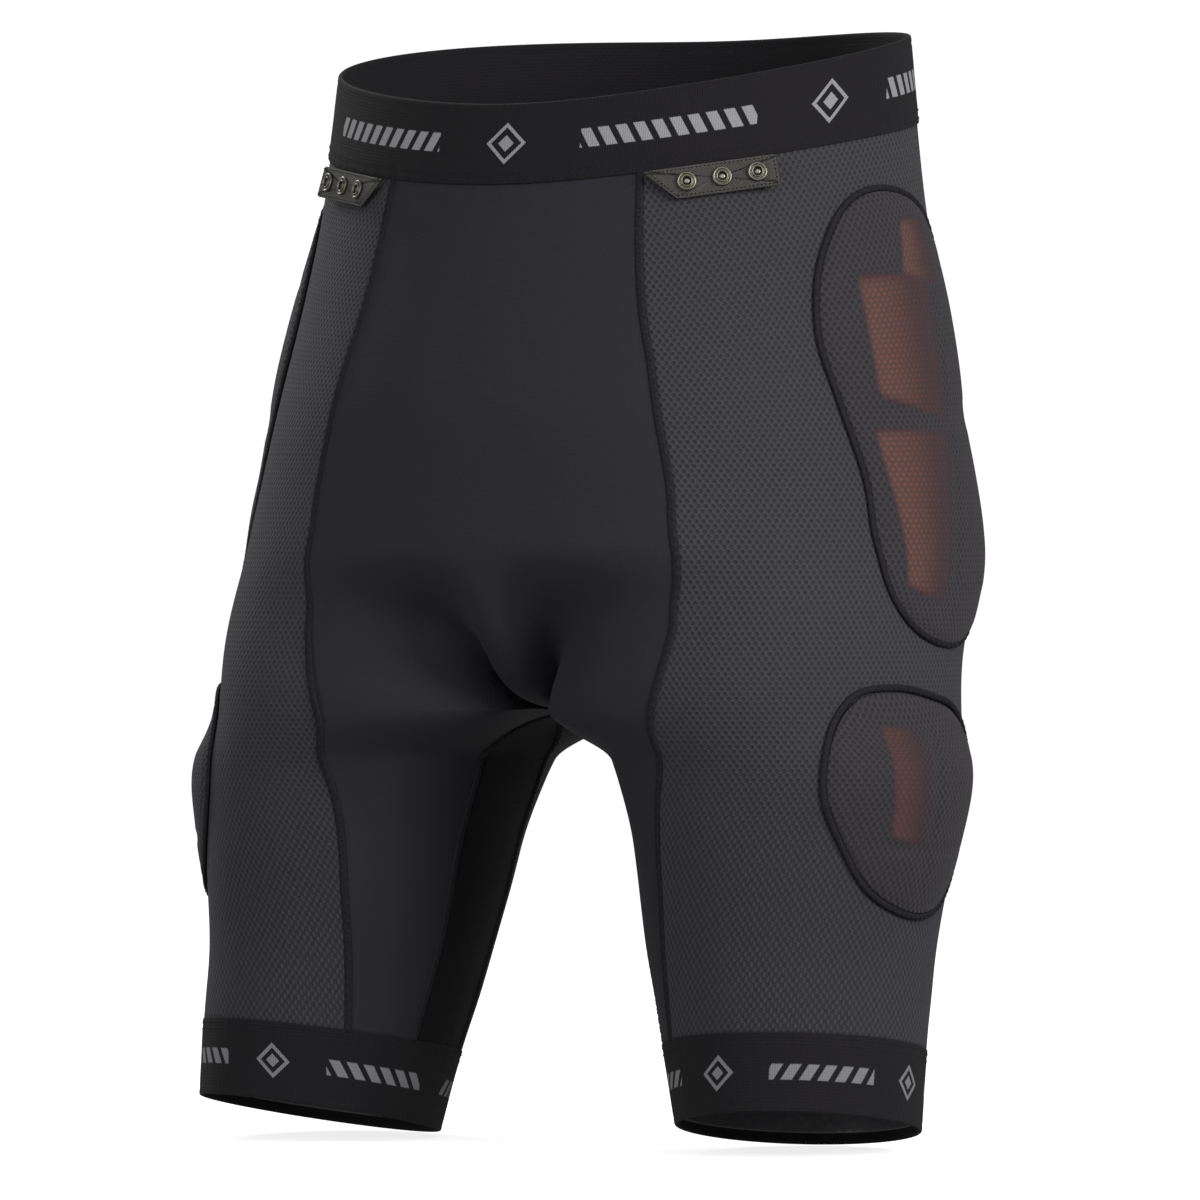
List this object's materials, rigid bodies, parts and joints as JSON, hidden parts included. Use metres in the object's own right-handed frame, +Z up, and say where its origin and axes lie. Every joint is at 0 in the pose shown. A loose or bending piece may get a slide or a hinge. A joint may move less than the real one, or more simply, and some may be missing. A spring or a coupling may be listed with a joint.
{
  "type": "padded impact shorts",
  "caption": "Close-fitting stretch liner shorts with foam pads under mesh covers on the hips and thighs, an elastic waistband and snap tabs.",
  "frame": {"origin": "middle of the waist opening, at the height of the rim on the wearer's sides", "axes": "+Z up along the wearer, -Y the wearer's front, +X the wearer's left"},
  "size_m": [0.3998, 0.2774, 0.5338],
  "materials": {
    "smooth": "smooth warp-knit stretch fabric, slight sheen",
    "mesh": "perforated stretch mesh",
    "elastic": "ribbed woven elastic with plain light marks",
    "thread": "flatlock thread and binding",
    "foam": "orange impact foam",
    "webbing": "stiff twill webbing",
    "metal": "antique press stud",
    "silicone": "silicone dots on elastic"
  },
  "bodies": {
    "shorts": {"back_panel": "smooth", "front_panel": "smooth", "left_back_seam": "thread", "left_front_seam": "thread", "left_hip_cover": "mesh", "left_hip_foam": "foam", "left_hip_piping": "thread", "left_inner_back_seam": "thread", "left_inner_front_seam": "thread", "left_inner_leg_panel": "smooth", "left_leg_band": "elastic", "left_leg_gripper": "silicone", "left_side_panel": "mesh", "left_thigh_cover": "mesh", "left_thigh_foam": "foam", "left_thigh_piping": "thread", "right_back_seam": "thread", "right_front_seam": "thread", "right_hip_cover": "mesh", "right_hip_foam": "foam", "right_hip_piping": "thread", "right_inner_back_seam": "thread", "right_inner_front_seam": "thread", "right_inner_leg_panel": "smooth", "right_leg_band": "elastic", "right_leg_gripper": "silicone", "right_side_panel": "mesh", "right_thigh_cover": "mesh", "right_thigh_foam": "foam", "right_thigh_piping": "thread", "waistband": "elastic"},
    "left_tab": {"left_snap_rivet_1": "metal", "left_snap_rivet_2": "metal", "left_snap_rivet_3": "metal", "left_snap_socket_1": "metal", "left_snap_socket_2": "metal", "left_snap_socket_3": "metal", "left_snap_tab": "webbing"},
    "right_tab": {"right_snap_rivet_1": "metal", "right_snap_rivet_2": "metal", "right_snap_rivet_3": "metal", "right_snap_socket_1": "metal", "right_snap_socket_2": "metal", "right_snap_socket_3": "metal", "right_snap_tab": "webbing"}
  },
  "joints": [
    {"name": "left_tab_hinge", "type": "hinge", "parent": "shorts", "child": "left_tab", "pos_m": [0.09667, -0.09224, -0.05394], "axis": [-0.8179, -0.5584, -0.1383], "range_deg": [0, 140]},
    {"name": "right_tab_hinge", "type": "hinge", "parent": "shorts", "child": "right_tab", "pos_m": [-0.09667, -0.09224, -0.05394], "axis": [-0.8179, 0.5584, 0.1383], "range_deg": [0, 140]}
  ]
}
